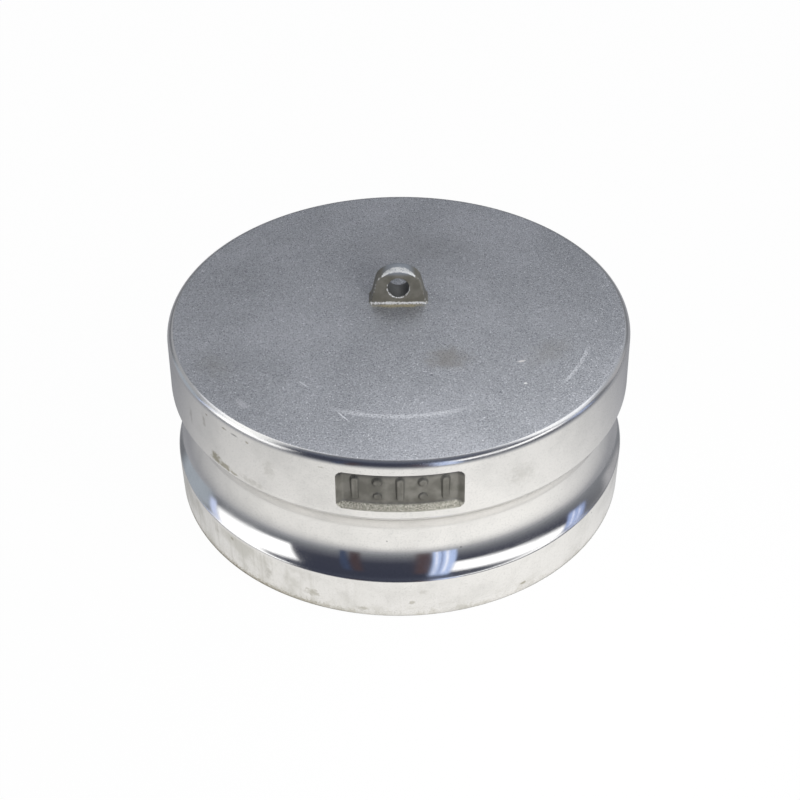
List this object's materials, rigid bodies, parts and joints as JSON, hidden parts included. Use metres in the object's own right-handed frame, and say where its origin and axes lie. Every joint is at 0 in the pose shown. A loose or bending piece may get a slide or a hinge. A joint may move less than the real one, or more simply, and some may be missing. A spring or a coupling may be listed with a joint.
{
  "type": "camlock dust plug",
  "caption": "Round cast plug that closes a camlock hose coupler: a thick cup turned upside down, with a turned cam groove round its waist, a flat lip that seals and a chain lug on its end.",
  "frame": {"origin": "centre of the flat lip face that the plug stands on", "axes": "+Z along the turned axis, from the open mouth to the closed end; -Y towards the sunk marking panel"},
  "size_m": [0.1194, 0.1194, 0.059],
  "materials": {
    "turned_aluminium": "turned on the outside, blasted on the closed end",
    "cast_aluminium": "as cast and blasted"
  },
  "bodies": {
    "root": {"plug_body": "turned_aluminium", "chain_lug": "cast_aluminium"}
  },
  "joints": []
}
